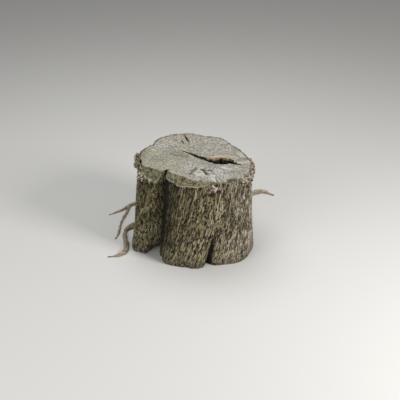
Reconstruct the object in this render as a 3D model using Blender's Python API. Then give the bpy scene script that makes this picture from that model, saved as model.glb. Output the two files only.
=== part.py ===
"""A sawn tree stump with its root flares, burls and surface roots, as one solid.

Metres, +Z up. The origin is on the ground, on the axis of the trunk.
+X points to the side where the saw cut is lowest, and -Y to the deep crease.
"""

import math

import bmesh
import bpy
from mathutils import Matrix, Vector, noise

NAME = "tree_stump"

# Saw cut across the trunk: its height on the axis, and how far it falls for each metre of +X.
CUT_HEIGHT = 0.495
CUT_FALL = 0.10

# The uncut trunk, which the saw cuts and the ground level then trim.
BLANK_TOP = 0.56
BLANK_BOTTOM = -0.02
COLUMNS = 136
ROWS = 15

# Plain outlines of the trunk, without its creases: bearing in degrees from +X, radius.
GROUND_OUTLINE = (
    (0, 0.328), (25, 0.312), (55, 0.318), (85, 0.325), (115, 0.318), (145, 0.305),
    (170, 0.312), (187, 0.333), (199, 0.336), (208, 0.306), (217, 0.272), (229, 0.268),
    (240, 0.288), (256, 0.290),
    (276, 0.299), (300, 0.305), (318, 0.346), (338, 0.346),
)
CUT_OUTLINE = (
    (0, 0.314), (17, 0.299), (35, 0.300), (58, 0.322), (80, 0.313), (105, 0.300),
    (118, 0.292), (135, 0.264), (155, 0.256), (180, 0.276), (200, 0.288), (217, 0.280),
    (245, 0.264), (260, 0.276), (277, 0.294), (300, 0.304), (325, 0.320), (343, 0.318),
)
FLARE_POWER = 1.4

# The fibres spiral: a column of bark stands further round at the cut than at the ground.
LEAN_MEAN = 7.0
LEAN_SWING = 8.0
LEAN_MOST_AT = 262.0
LEAN_POWER = 1.3

# Creases between the flares: bearing at the cut, half-width in degrees, depth at the ground,
# depth at the cut, and the height over which the first gives way to the second.
CREASES = (
    (234.0, 3.4, 0.064, 0.072, 0.50),
    (243.0, 2.6, 0.034, 0.000, 0.30),
    (300.6, 4.0, 0.060, 0.000, 0.26),
    (279.0, 2.0, 0.013, 0.000, 0.22),
    (75.0, 9.0, 0.030, 0.010, 0.50),
    (150.0, 9.0, 0.028, 0.014, 0.50),
    (22.0, 7.0, 0.016, 0.000, 0.40),
)
CREASE_SHARPNESS = 1.3

# Slow swells along the bark, and the edge of the foot, which turns under.
SWELL = 0.009
SWELL_LENGTH = Vector((0.085, 0.085, 0.32))
FOOT_EDGE = 0.014

# Two saw chamfers, each by three points of its plane.
FRONT_CHAMFER = (
    Vector((-0.108, -0.172, 0.506)), Vector((0.075, -0.272, 0.488)), Vector((-0.020, -0.284, 0.468)),
)
SIDE_CHAMFER = (
    Vector((-0.232, -0.132, 0.518)), Vector((-0.145, -0.176, 0.510)), Vector((-0.215, -0.174, 0.447)),
)
CREASE_MOUTH = Vector((-0.118, -0.172, 0.507))
CREASE_BEARING = math.radians(234.0)
CHAMFER_OVERLAP = 0.006

# Drying cracks in the cut: points along each one with its half-width there, and its depth.
MAIN_CRACK = (
    (-0.041, 0.088, 0.002), (0.006, 0.049, 0.006), (0.048, 0.018, 0.012), (0.082, 0.004, 0.021),
    (0.120, -0.006, 0.034), (0.157, -0.004, 0.034), (0.192, 0.000, 0.025), (0.222, -0.010, 0.013),
    (0.249, -0.025, 0.005), (0.270, -0.046, 0.002),
)
MAIN_CRACK_DEPTH = 0.12
RIM_CRACK = ((-0.050, 0.325, 0.014), (-0.040, 0.270, 0.010), (-0.026, 0.230, 0.006), (-0.014, 0.192, 0.002))
RIM_CRACK_DEPTH = 0.05
CRACK_FLOOR = 0.15

# Burls on the bark: bearing, distance from the axis, height, and half-sizes across, out and up.
BURLS = (
    (178.0, 0.280, 0.494, 0.028, 0.020, 0.024),
    (185.0, 0.284, 0.476, 0.019, 0.017, 0.020),
    (209.0, 0.290, 0.458, 0.024, 0.021, 0.025),
    (290.0, 0.295, 0.454, 0.025, 0.020, 0.023),
    (296.5, 0.300, 0.458, 0.014, 0.013, 0.014),
    (351.0, 0.316, 0.446, 0.022, 0.016, 0.024),
    (345.0, 0.316, 0.424, 0.018, 0.014, 0.020),
    (1.0, 0.312, 0.450, 0.017, 0.014, 0.018),
    (331.0, 0.314, 0.432, 0.020, 0.013, 0.018),
)

# Surface roots, half in the ground: points along each one and its radius there.
ROOTS = {
    "root_left": (
        (-0.200, 0.110, 0.030, 0.030), (-0.300, 0.138, 0.016, 0.020), (-0.362, 0.112, 0.008, 0.013),
        (-0.376, 0.060, 0.006, 0.011),
        (-0.366, -0.010, 0.007, 0.013), (-0.350, -0.085, 0.008, 0.015), (-0.356, -0.145, 0.006, 0.013),
        (-0.400, -0.178, 0.002, 0.009), (-0.446, -0.178, -0.008, 0.006),
    ),
    "root_back_left": (
        (-0.130, 0.190, 0.040, 0.038), (-0.205, 0.290, 0.020, 0.022), (-0.290, 0.372, 0.010, 0.014),
        (-0.352, 0.392, 0.006, 0.010), (-0.388, 0.340, 0.005, 0.009), (-0.434, 0.296, 0.003, 0.007),
        (-0.484, 0.262, -0.006, 0.005),
    ),
    "root_fork": (
        (-0.372, 0.372, 0.004, 0.008), (-0.388, 0.262, 0.004, 0.008), (-0.403, 0.198, 0.003, 0.007),
        (-0.409, 0.130, 0.003, 0.007), (-0.407, 0.058, 0.002, 0.006), (-0.420, 0.000, -0.006, 0.005),
    ),
    "root_back_right": (
        (0.120, 0.180, 0.060, 0.060), (0.200, 0.300, 0.026, 0.036), (0.276, 0.412, 0.012, 0.023),
        (0.338, 0.496, 0.008, 0.017), (0.396, 0.538, 0.006, 0.015), (0.446, 0.536, 0.003, 0.013),
        (0.490, 0.500, -0.008, 0.008),
    ),
}


def outline_radius(outline, bearing):
    """Radius of a closed outline at a bearing, on a smooth curve through its points."""
    count = len(outline)
    bearing %= 360.0
    for index in range(count):
        start, radius = outline[index]
        end, following = outline[(index + 1) % count]
        span = (end - start) % 360.0
        offset = (bearing - start) % 360.0
        if offset <= span:
            break
    before = outline[index - 1][1]
    after = outline[(index + 2) % count][1]
    t = offset / span
    line = 2.0 * radius + (following - before) * t
    square = (2.0 * before - 5.0 * radius + 4.0 * following - after) * t * t
    cube = (3.0 * radius - before - 3.0 * following + after) * t ** 3
    return 0.5 * (line + square + cube)


def lean_angle(column):
    """How far a column of bark turns between the cut and the ground, in degrees."""
    return LEAN_MEAN + LEAN_SWING * math.cos(math.radians(column - LEAN_MOST_AT))


def crease_depth(column, height):
    """How far all the creases pull the bark in at one place."""
    depth = 0.0
    for middle, half_width, at_ground, at_cut, fade in CREASES:
        away = abs((column - middle + 180.0) % 360.0 - 180.0)
        low = min(1.0, max(0.0, 1.0 - height / fade))
        here = at_cut + (at_ground - at_cut) * low
        depth += here * math.exp(-((away / half_width) ** CREASE_SHARPNESS))
    return depth


def bark_point(column, height):
    """A point on the bark. The column is its bearing in degrees at the level of the cut."""
    drop = min(1.0, max(0.0, 1.0 - height / CUT_HEIGHT))
    bearing = column - lean_angle(column) * drop ** LEAN_POWER
    at_ground = outline_radius(GROUND_OUTLINE, column - lean_angle(column))
    at_cut = outline_radius(CUT_OUTLINE, column)
    radius = at_cut + (at_ground - at_cut) * drop ** FLARE_POWER
    radius -= crease_depth(column, height)
    around = Vector((math.cos(math.radians(column)), math.sin(math.radians(column)), 0.0)) * radius
    place = Vector((around.x, around.y, height))
    place = Vector((place.x / SWELL_LENGTH.x, place.y / SWELL_LENGTH.y, place.z / SWELL_LENGTH.z))
    radius += SWELL * noise.noise(place)
    under = max(0.0, 1.0 - height / FOOT_EDGE)
    radius -= FOOT_EDGE * (1.0 - math.sqrt(max(0.0, 1.0 - min(1.0, under) ** 2)))
    angle = math.radians(bearing)
    return Vector((radius * math.cos(angle), radius * math.sin(angle), height))


def column_bearings():
    """Bearings of the columns, spaced evenly along the bark and so into each crease."""
    samples = 1440
    middle = CUT_HEIGHT / 2.0
    points = [bark_point(360.0 * step / samples, middle) for step in range(samples + 1)]
    walked = [0.0]
    for before, after in zip(points, points[1:]):
        walked.append(walked[-1] + (after - before).length)
    bearings = []
    step = 0
    for column in range(COLUMNS):
        target = walked[-1] * column / COLUMNS
        while walked[step + 1] < target:
            step += 1
        part = (target - walked[step]) / (walked[step + 1] - walked[step])
        bearings.append(360.0 * (step + part) / samples)
    return bearings


def new_object(name, mesh, collection):
    """An object that shows the mesh, in a collection."""
    made = bpy.data.objects.new(name, mesh)
    collection.objects.link(made)
    return made


def mesh_from(name, work):
    """A mesh from a bmesh, which is freed."""
    mesh = bpy.data.meshes.new(name)
    work.to_mesh(mesh)
    work.free()
    return mesh


def trunk_mesh():
    """The uncut trunk: a closed tube whose points are moved out to the bark."""
    work = bmesh.new()
    bmesh.ops.create_cone(work, cap_ends=True, segments=COLUMNS, radius1=1.0, radius2=1.0, depth=1.0)
    upright = [edge for edge in work.edges if abs(edge.verts[0].co.z - edge.verts[1].co.z) > 0.5]
    bmesh.ops.subdivide_edges(work, edges=upright, cuts=ROWS - 1, use_grid_fill=True)
    bearings = column_bearings()
    for vert in work.verts:
        turn = math.atan2(vert.co.y, vert.co.x) / math.tau
        column = bearings[round(turn * COLUMNS) % COLUMNS]
        rise = vert.co.z + 0.5
        vert.co = bark_point(column, BLANK_BOTTOM + (BLANK_TOP - BLANK_BOTTOM) * rise)
    bmesh.ops.recalc_face_normals(work, faces=work.faces)
    return mesh_from("trunk", work)


def plane_normal(points):
    """The normal of a plane through three points, turned to point up."""
    normal = (points[1] - points[0]).cross(points[2] - points[0]).normalized()
    return normal if normal.z > 0.0 else -normal


def on_plane(point, plane, normal):
    """The point moved squarely onto a plane, which is given by points on it and its normal."""
    return point - normal * (point - plane[0]).dot(normal)


def saw_block(name, point, normal, collection, along=None):
    """A block that takes away what is above a plane, on both sides of the point.

    With a direction along the plane, it takes away only what is to the left of that line,
    and a little past it, so that two blocks side by side leave nothing standing between them.
    """
    size = 1.6
    work = bmesh.new()
    bmesh.ops.create_cube(work, size=size)
    sideways = 0.0 if along is None else size / 2.0 - CHAMFER_OVERLAP
    bmesh.ops.translate(work, verts=work.verts, vec=(0.0, sideways, size / 2.0))
    ahead = Vector((1.0, 0.0, 0.0)) if along is None else along
    ahead = (ahead - normal * ahead.dot(normal)).normalized()
    turn = Matrix((ahead, normal.cross(ahead), normal)).transposed()
    bmesh.ops.transform(work, verts=work.verts, matrix=Matrix.Translation(point) @ turn.to_4x4())
    return new_object(name, mesh_from(name, work), collection)


def cut_level(x):
    """Height of the saw cut."""
    return CUT_HEIGHT - CUT_FALL * x


def crack_wedge(name, route, depth, collection):
    """A wedge that opens a crack in the cut, narrow at its floor and shallow at its ends."""
    count = len(route)
    widest = max(half for _, _, half in route)
    work = bmesh.new()
    bmesh.ops.create_cone(work, cap_ends=True, segments=2 * count, radius1=1.0, radius2=1.0, depth=1.0)
    upright = [edge for edge in work.edges if abs(edge.verts[0].co.z - edge.verts[1].co.z) > 0.5]
    bmesh.ops.subdivide_edges(work, edges=upright, cuts=1, use_grid_fill=True)
    for vert in work.verts:
        place = round(math.atan2(vert.co.y, vert.co.x) / math.tau * 2 * count) % (2 * count)
        side = -1.0 if place < count else 1.0
        index = place if place < count else 2 * count - 1 - place
        x, y, half = route[index]
        ahead = Vector(route[min(index + 1, count - 1)][:2]) - Vector(route[max(index - 1, 0)][:2])
        across = Vector((-ahead.y, ahead.x)).normalized() * side
        level = cut_level(x)
        if vert.co.z < -0.25:
            half *= CRACK_FLOOR
            level -= depth * (0.25 + 0.75 * route[index][2] / widest)
        elif vert.co.z > 0.25:
            level += 0.04
        vert.co = Vector((x + across.x * half, y + across.y * half, level))
    bmesh.ops.recalc_face_normals(work, faces=work.faces)
    return new_object(name, mesh_from(name, work), collection)


def burl(name, bearing, distance, height, across, out, up, collection):
    """A knobbly lump of healed wood, as a rough ellipsoid turned to face out."""
    work = bmesh.new()
    bmesh.ops.create_icosphere(work, subdivisions=2, radius=1.0)
    for vert in work.verts:
        vert.co *= 1.0 + 0.22 * noise.noise(vert.co * 1.6 + Vector((bearing, height * 40.0, 0.0)))
    bmesh.ops.scale(work, vec=(out, across, up), verts=work.verts)
    angle = math.radians(bearing)
    place = Vector((distance * math.cos(angle), distance * math.sin(angle), height))
    bmesh.ops.transform(
        work, verts=work.verts, matrix=Matrix.Translation(place) @ Matrix.Rotation(angle, 4, "Z")
    )
    return new_object(name, mesh_from(name, work), collection)


def surface_root(name, route, collection):
    """A tapered root as a swept tube with closed ends."""
    curve = bpy.data.curves.new(name, "CURVE")
    curve.dimensions = "3D"
    curve.bevel_depth = 1.0
    curve.bevel_resolution = 2
    curve.resolution_u = 3
    curve.use_fill_caps = True
    spline = curve.splines.new("NURBS")
    spline.points.add(len(route) - 1)
    for point, (x, y, z, radius) in zip(spline.points, route):
        point.co = (x, y, z, 1.0)
        point.radius = radius
    spline.order_u = 3
    spline.use_endpoint_u = True
    guide = bpy.data.objects.new(name + "_route", curve)
    collection.objects.link(guide)
    bpy.context.view_layer.update()
    graph = bpy.context.evaluated_depsgraph_get()
    mesh = bpy.data.meshes.new_from_object(guide.evaluated_get(graph))
    work = bmesh.new()
    work.from_mesh(mesh)
    bmesh.ops.remove_doubles(work, verts=work.verts, dist=0.0001)
    bmesh.ops.recalc_face_normals(work, faces=work.faces)
    bpy.data.meshes.remove(mesh)
    bpy.data.objects.remove(guide)
    return new_object(name, mesh_from(name, work), collection)


def combine(target, tool, operation):
    """Joins a helper to the target or cuts it away, and hides the helper."""
    modifier = target.modifiers.new(tool.name, "BOOLEAN")
    modifier.operation = operation
    modifier.solver = "EXACT"
    modifier.object = tool
    tool.hide_render = True
    tool.display_type = "WIRE"


def stump_material():
    """Weathered bark and wood as one plain colour."""
    material = bpy.data.materials.new("stump_wood")
    material.use_nodes = True
    shader = material.node_tree.nodes["Principled BSDF"]
    shader.inputs["Base Color"].default_value = (0.150, 0.134, 0.092, 1.0)
    shader.inputs["Roughness"].default_value = 0.88
    shader.inputs["Metallic"].default_value = 0.0
    return material


def build():
    """Clears the scene and makes the stump."""
    for old in list(bpy.data.objects):
        bpy.data.objects.remove(old, do_unlink=True)
    parts = bpy.data.collections.new(NAME)
    helpers = bpy.data.collections.new(NAME + "_helpers")
    bpy.context.scene.collection.children.link(parts)
    bpy.context.scene.collection.children.link(helpers)

    stump = new_object(NAME, trunk_mesh(), parts)
    stump.data.materials.append(stump_material())

    up = Vector((CUT_FALL, 0.0, 1.0)).normalized()
    combine(stump, saw_block("saw_cut", Vector((0.0, 0.0, CUT_HEIGHT)), up, helpers), "DIFFERENCE")
    outward = Vector((math.cos(CREASE_BEARING), math.sin(CREASE_BEARING), 0.0))
    chamfers = (("front_chamfer", FRONT_CHAMFER, outward), ("side_chamfer", SIDE_CHAMFER, -outward))
    for name, plane, along in chamfers:
        normal = plane_normal(plane)
        corner = on_plane(CREASE_MOUTH, plane, normal)
        combine(stump, saw_block(name, corner, normal, helpers, along), "DIFFERENCE")
    for name, route in ROOTS.items():
        combine(stump, surface_root(name, route, helpers), "UNION")
    for number, sizes in enumerate(BURLS, 1):
        combine(stump, burl(f"burl_{number}", *sizes, helpers), "UNION")
    combine(stump, crack_wedge("main_crack", MAIN_CRACK, MAIN_CRACK_DEPTH, helpers), "DIFFERENCE")
    combine(stump, crack_wedge("rim_crack", RIM_CRACK, RIM_CRACK_DEPTH, helpers), "DIFFERENCE")
    below = saw_block("ground_level", Vector((0.0, 0.0, 0.0)), Vector((0.0, 0.0, -1.0)), helpers)
    combine(stump, below, "DIFFERENCE")

    stump.data.shade_smooth()
    stump.data.set_sharp_from_angle(angle=math.radians(40.0))


build()
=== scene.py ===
# %% [markdown]
# # A sawn tree stump
# A stump is one piece of wood inside a coat of ridged bark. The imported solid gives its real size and
# its large shapes: the flares, the deep crease, the saw cuts and the cracks. This lesson lays a fine
# skin of bark over that solid, sets a weathered block of wood into it, and adds the burls and roots.

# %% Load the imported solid
import math

import bmesh
import bpy
import numpy as np
from mathutils import Matrix, Vector, noise
from mathutils.bvhtree import BVHTree


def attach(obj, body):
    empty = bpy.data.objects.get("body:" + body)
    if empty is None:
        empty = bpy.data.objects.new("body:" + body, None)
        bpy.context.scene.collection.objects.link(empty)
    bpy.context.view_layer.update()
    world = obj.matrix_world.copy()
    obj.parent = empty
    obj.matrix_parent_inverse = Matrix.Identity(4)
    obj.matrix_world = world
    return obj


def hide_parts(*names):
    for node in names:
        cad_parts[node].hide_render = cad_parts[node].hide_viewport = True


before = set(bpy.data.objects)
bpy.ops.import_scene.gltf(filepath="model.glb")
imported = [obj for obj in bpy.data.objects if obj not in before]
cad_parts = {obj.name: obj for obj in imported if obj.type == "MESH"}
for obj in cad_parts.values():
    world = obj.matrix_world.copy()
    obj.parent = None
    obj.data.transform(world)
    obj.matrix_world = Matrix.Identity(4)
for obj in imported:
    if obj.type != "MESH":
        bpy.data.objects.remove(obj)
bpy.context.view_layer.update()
# Vector noise is offset by a seed, which is the time of day unless it is set.
NOISE_SEED = 11
noise.seed_set(NOISE_SEED)
NODE = "tree_stump"
BODY = "root"

# %% [markdown]
# ## Feeling the solid with rays
# The quickest way to lay new geometry on an existing solid is to ask the solid where its surface is.
# A BVH tree answers that: a ray goes in, and the point and normal of the first face it meets come
# out. The loaded mesh is loose triangles, so a merged copy is used and then thrown away.

# %% A ray tree of the solid
MERGE = 0.00005
# Rays start this far from the origin, well clear of the stump.
RAY_START = 1.0


def solid_tree(name):
    """A tree of one node's faces, for ray casts."""
    work = bmesh.new()
    work.from_mesh(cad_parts[name].data)
    bmesh.ops.remove_doubles(work, verts=work.verts, dist=MERGE)
    tree = BVHTree.FromBMesh(work)
    work.free()
    return tree


SOLID = solid_tree(NODE)


def plane_under(x, y):
    """Point and normal of the first face under x, y."""
    point, normal, _, _ = SOLID.ray_cast(Vector((x, y, RAY_START)), Vector((0.0, 0.0, -1.0)))
    return (point, normal) if normal.z > 0.0 else (point, -normal)


SAW_CUT = plane_under(-0.15, 0.02)
FRONT_CHAMFER = plane_under(-0.02, -0.25)
SIDE_CHAMFER = plane_under(-0.20, -0.17)
CUTS = {"saw cut": SAW_CUT, "front chamfer": FRONT_CHAMFER, "side chamfer": SIDE_CHAMFER}
for title, (point, normal) in CUTS.items():
    print(title, "passes", [round(c, 3) for c in point], "normal", [round(c, 3) for c in normal])

# %% [markdown]
# ## The top of the wood
# Three saw planes make the top: the felling cut and two chamfers, one on each side of the deep
# crease. The lowest of them at any place is the height of the wood there.

# %% Height of the saw cuts
CREASE_MOUTH = (-0.118, -0.172)
CREASE_BEARING = math.radians(234.0)
CREASE_OUT = (math.cos(CREASE_BEARING), math.sin(CREASE_BEARING))


def plane_height(plane, x, y):
    """Height of a plane over x, y, which may be arrays."""
    point, normal = plane
    return point.z - ((x - point.x) * normal.x + (y - point.y) * normal.y) / normal.z


def top_height(x, y):
    """Height of the sawn top over x, y, which may be arrays."""
    side = (x - CREASE_MOUTH[0]) * CREASE_OUT[1] - (y - CREASE_MOUTH[1]) * CREASE_OUT[0]
    chamfer = np.where(side > 0.0, plane_height(SIDE_CHAMFER, x, y), plane_height(FRONT_CHAMFER, x, y))
    return np.minimum(plane_height(SAW_CUT, x, y), chamfer)


CUT_HEIGHT = float(plane_height(SAW_CUT, 0.0, 0.0))
print("cut height on the axis", round(CUT_HEIGHT, 4))

# %% [markdown]
# ## Burls and roots, where they grow
# Burls are lumps of healed wood. Roots run out from the foot and dip into the ground. Their places
# are the ones in the solid. The bark must flow under them, so they are needed before the bark.

# %% Places of the burls and roots
# Burls: bearing, distance from the axis, height, and half-sizes across, out and up.
BURLS = (
    (178.0, 0.280, 0.488, 0.028, 0.020, 0.024),
    (185.0, 0.284, 0.468, 0.019, 0.017, 0.020),
    (209.0, 0.290, 0.458, 0.024, 0.021, 0.025),
    (290.0, 0.295, 0.454, 0.025, 0.020, 0.023),
    (296.5, 0.300, 0.458, 0.014, 0.013, 0.014),
    (351.0, 0.316, 0.446, 0.022, 0.016, 0.024),
    (345.0, 0.316, 0.424, 0.018, 0.014, 0.020),
    (1.0, 0.312, 0.450, 0.017, 0.014, 0.018),
    (331.0, 0.314, 0.432, 0.020, 0.013, 0.018),
)
# All of them, and the split in the rim, are above this height.
BURLS_FROM = 0.40
# Roots: x, y, z and radius of points along each one.
ROOTS = {
    "root_left": (
        (-0.200, 0.110, 0.030, 0.030), (-0.300, 0.138, 0.016, 0.020), (-0.362, 0.112, 0.008, 0.013),
        (-0.376, 0.060, 0.006, 0.011), (-0.366, -0.010, 0.007, 0.013), (-0.350, -0.085, 0.008, 0.015),
        (-0.356, -0.145, 0.006, 0.013), (-0.400, -0.178, 0.002, 0.009), (-0.446, -0.178, -0.008, 0.006),
    ),
    "root_back_left": (
        (-0.130, 0.190, 0.040, 0.038), (-0.205, 0.290, 0.020, 0.022), (-0.290, 0.372, 0.010, 0.014),
        (-0.352, 0.392, 0.006, 0.010), (-0.388, 0.340, 0.005, 0.009), (-0.434, 0.296, 0.003, 0.007),
        (-0.484, 0.262, -0.006, 0.005),
    ),
    "root_fork": (
        (-0.372, 0.372, 0.004, 0.008), (-0.388, 0.262, 0.004, 0.008), (-0.403, 0.198, 0.003, 0.007),
        (-0.409, 0.130, 0.003, 0.007), (-0.407, 0.058, 0.002, 0.006), (-0.420, 0.000, -0.006, 0.005),
    ),
    "root_back_right": (
        (0.120, 0.180, 0.060, 0.060), (0.200, 0.300, 0.026, 0.036), (0.276, 0.412, 0.012, 0.023),
        (0.338, 0.496, 0.008, 0.017), (0.396, 0.538, 0.006, 0.015), (0.446, 0.536, 0.003, 0.013),
        (0.490, 0.500, -0.008, 0.008),
    ),
}
# A burl covers the bark this many times its size round it.
BURL_COVER = 1.25
# A root covers it below this height, at its first few points, this many radii and metres round them.
ROOTS_BELOW = 0.13
ROOT_STARTS = 3
ROOT_COVER = (1.6, 0.012)
# What is further than this from the axis is root.
TRUNK_REACH = 0.365


def burl_place(burl):
    """Middle of a burl."""
    angle = math.radians(burl[0])
    return Vector((burl[1] * math.cos(angle), burl[1] * math.sin(angle), burl[2]))


def covered(point):
    """Whether a point is on a burl or a root rather than on the trunk."""
    for burl in BURLS:
        away = point - burl_place(burl)
        if away.length < BURL_COVER * max(burl[3:]):
            return True
    if point.z > ROOTS_BELOW:
        return False
    for route in ROOTS.values():
        for x, y, z, radius in route[:ROOT_STARTS]:
            if (point - Vector((x, y, z))).length < ROOT_COVER[0] * radius + ROOT_COVER[1]:
                return True
    return math.hypot(point.x, point.y) > TRUNK_REACH


print(len(BURLS), "burls and", len(ROOTS), "roots")

# %% [markdown]
# ## Columns of bark
# Bark ridges climb the trunk along its fibres, and here the fibres spiral a little, so every column of
# the skin leans as the solid does. Columns are spaced evenly along the bark, also down into the
# creases, so the creases get as many points as the open bark.

# %% Where the columns stand
COLUMNS = 880
ROWS = 104
LEAN_MEAN = 7.0
LEAN_SWING = 8.0
LEAN_MOST_AT = 262.0
LEAN_POWER = 1.3
COLUMN_SAMPLES = 2881


def lean_angle(column):
    """How far a column turns between the cut and the ground, in degrees."""
    return LEAN_MEAN + LEAN_SWING * np.cos(np.radians(column - LEAN_MOST_AT))


def bearing_at(column, height):
    """Bearing of a column at a height, in degrees."""
    drop = np.clip(1.0 - height / CUT_HEIGHT, 0.0, 1.0)
    return column - lean_angle(column) * drop ** LEAN_POWER


def cast_in(bearing, height):
    """The bark point at a bearing and height, from a level ray towards the axis."""
    angle = math.radians(bearing)
    out = Vector((math.cos(angle), math.sin(angle), 0.0))
    start = Vector((out.x * RAY_START, out.y * RAY_START, height))
    return SOLID.ray_cast(start, -out)[0]


def even_columns():
    """Column bearings, evenly spaced along the bark at mid height."""
    middle = CUT_HEIGHT / 2.0
    samples = np.linspace(0.0, 360.0, COLUMN_SAMPLES)
    points = np.array([cast_in(bearing_at(c, middle), middle) for c in samples])
    walked = np.concatenate(([0.0], np.cumsum(np.linalg.norm(np.diff(points, axis=0), axis=1))))
    targets = np.arange(COLUMNS) * walked[-1] / COLUMNS
    print("bark length round the trunk", round(walked[-1], 3))
    return np.interp(targets, walked, samples)


COLUMN = even_columns()

# %% [markdown]
# ## The rim
# A column ends where it reaches the sawn top. Walking up each column, the rim is the first height at
# which the ray lands on the sawn top instead of on bark. Where a burl or the split hides the rim, its
# radius is bridged and the saw planes give its height.

# %% Height of the rim over each column
RIM_SEARCH_LOW = 0.36
RIM_SEARCH_STEP = 0.0025
RIM_SEARCH_PAST = 0.05
RIM_TOUCH = 0.001
RIM_PASSES = 4
RIM_BLURS = 3
# The split at the back rim is made finer in the wood, so the bark runs straight past it.
SPLIT_BEARINGS = (93.0, 104.0)


def rim_of(column):
    """Height and radius at which a column meets the sawn top, and whether a burl hid it."""
    height = RIM_SEARCH_LOW
    radius = 0.0
    hidden = False
    while height < CUT_HEIGHT + RIM_SEARCH_PAST:
        point = cast_in(bearing_at(column, height), height)
        hidden = hidden or (height > BURLS_FROM and point is not None and covered(point))
        if point is None or height > top_height(point.x, point.y) - RIM_TOUCH:
            break
        radius = math.hypot(point.x, point.y)
        height += RIM_SEARCH_STEP
    return height, radius, hidden


rims = [rim_of(c) for c in COLUMN]
rim_height = np.array([height for height, _, _ in rims])
rim_reach = np.array([radius for _, radius, _ in rims])
rim_hidden = np.array([hidden for _, _, hidden in rims])
column_at_rim = np.mod(bearing_at(COLUMN, rim_height), 360.0)


def fill_round(values, hidden):
    """Bridges the hidden stretches of a closed row of values."""
    steps = np.arange(len(values))
    known = ~hidden
    return np.interp(steps, steps[known], values[known], period=len(values))


rim_hidden |= (column_at_rim > SPLIT_BEARINGS[0]) & (column_at_rim < SPLIT_BEARINGS[1])
rim_height = fill_round(rim_height, rim_hidden)
rim_reach = fill_round(rim_reach, rim_hidden)
for _ in range(RIM_PASSES):
    bearing = np.radians(bearing_at(COLUMN, rim_height))
    sawn = top_height(rim_reach * np.cos(bearing), rim_reach * np.sin(bearing))
    rim_height = np.where(rim_hidden, sawn, rim_height)
for _ in range(RIM_BLURS):
    rim_height = (np.roll(rim_height, 1) + 2.0 * rim_height + np.roll(rim_height, -1)) / 4.0
print("rim from", round(rim_height.min(), 3), "to", round(rim_height.max(), 3))

# %% [markdown]
# ## Radius of the skin
# Rays give the radius at every row and column. Where a burl or a root is in the way, the bark's own
# surface is hidden, so those places are relaxed until they run smoothly into their neighbours. A few
# passes of blur then take away the solid's facets.

# %% The skin as a table of radii
LOWEST_RAY = 0.0006
UNDER_RIM = 0.003
RELAX_PASSES = 200
BLUR_PASSES = 6
rise = np.linspace(0.0, 1.0, ROWS)[:, None]
height_at = rise * rim_height[None, :]
turn_at = np.radians(bearing_at(COLUMN[None, :], height_at))
radius_at = np.zeros((ROWS, COLUMNS))
hidden_at = np.zeros((ROWS, COLUMNS), dtype=bool)
for row in range(ROWS):
    for col in range(COLUMNS):
        level = min(max(height_at[row, col], LOWEST_RAY), rim_height[col] - UNDER_RIM)
        bearing = math.degrees(turn_at[row, col])
        hit = cast_in(bearing, level)
        split = hit.z > BURLS_FROM and SPLIT_BEARINGS[0] < bearing % 360.0 < SPLIT_BEARINGS[1]
        hidden_at[row, col] = covered(hit) or split
        radius_at[row, col] = math.hypot(hit.x, hit.y)


def neighbours(table):
    """Average of the four neighbours, closed round the trunk."""
    above = np.vstack((table[1:], table[-1:]))
    below = np.vstack((table[:1], table[:-1]))
    return (np.roll(table, 1, 1) + np.roll(table, -1, 1) + above + below) / 4.0


for row in range(ROWS):
    if hidden_at[row].any():
        radius_at[row] = fill_round(radius_at[row], hidden_at[row])
for _ in range(RELAX_PASSES):
    radius_at[hidden_at] = neighbours(radius_at)[hidden_at]
for _ in range(BLUR_PASSES):
    radius_at = 0.5 * radius_at + 0.5 * neighbours(radius_at)
print("radius from", round(radius_at.min(), 3), "to", round(radius_at.max(), 3))
print("points hidden by burls, roots or the split", int(hidden_at.sum()))

# %% [markdown]
# ## Bark relief
# Old bark splits as the trunk grows: the plates are long, upright and wander into each other, with
# dark fissures between them. Voronoi cells stretched upright give the plates, and their borders give
# the fissures. Bending the coordinates first, with slow noise, makes the ridges wander, and slow
# swells make the broad ribs. The values are kept as attributes, so the colour follows the shape.

# %% Where the fibres run
# The ridges lean further than the trunk's columns on the side that faces -Y.
SLANT_MOST = 11.0
SLANT_MOST_AT = 270.0


def soft_step(low, high, value):
    """0 below low, 1 above high, and smooth between."""
    t = min(1.0, max(0.0, (value - low) / (high - low)))
    return t * t * (3.0 - 2.0 * t)


def fibre_place(column, radius, height):
    """Where a place would be if the fibres ran straight up: patterns on it follow the fibres."""
    facing = max(0.0, math.cos(math.radians(column - SLANT_MOST_AT)))
    angle = math.radians(column + SLANT_MOST * facing * (1.0 - height / CUT_HEIGHT))
    return Vector((radius * math.cos(angle), radius * math.sin(angle), height))


print("fibres at the foot lean", SLANT_MOST, "degrees further at bearing", SLANT_MOST_AT)

# %% The crumbled patch and the pale ridge
# A crumbled patch where the bark has broken into knobs: bearing, height, half-sizes.
CRUMBLED = (297.0, 0.335, 12.0, 0.070)
CRUMBLED_SLANT = 0.6
# A pale ridge runs down beside the furrow at the foot: height and bearing of points on it.
PALE_RIDGE = (
    (0.0, 282.0), (0.048, 283.8), (0.149, 288.7), (0.255, 294.0), (0.335, 299.9), (0.411, 306.0),
)
PALE_RIDGE_WIDTH = 1.3
PALE_RIDGE_END = (0.34, 0.42)


def pale_ridge(column, height):
    """How near a place is to the pale ridge: 1 on it and 0 away from it."""
    heights = [point[0] for point in PALE_RIDGE]
    bearings = [point[1] for point in PALE_RIDGE]
    middle = float(np.interp(height, heights, bearings))
    away = (float(bearing_at(column, height)) - middle) % 360.0
    away = min(away, 360.0 - away) / PALE_RIDGE_WIDTH
    return math.exp(-away * away) * (1.0 - soft_step(*PALE_RIDGE_END, height))


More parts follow.
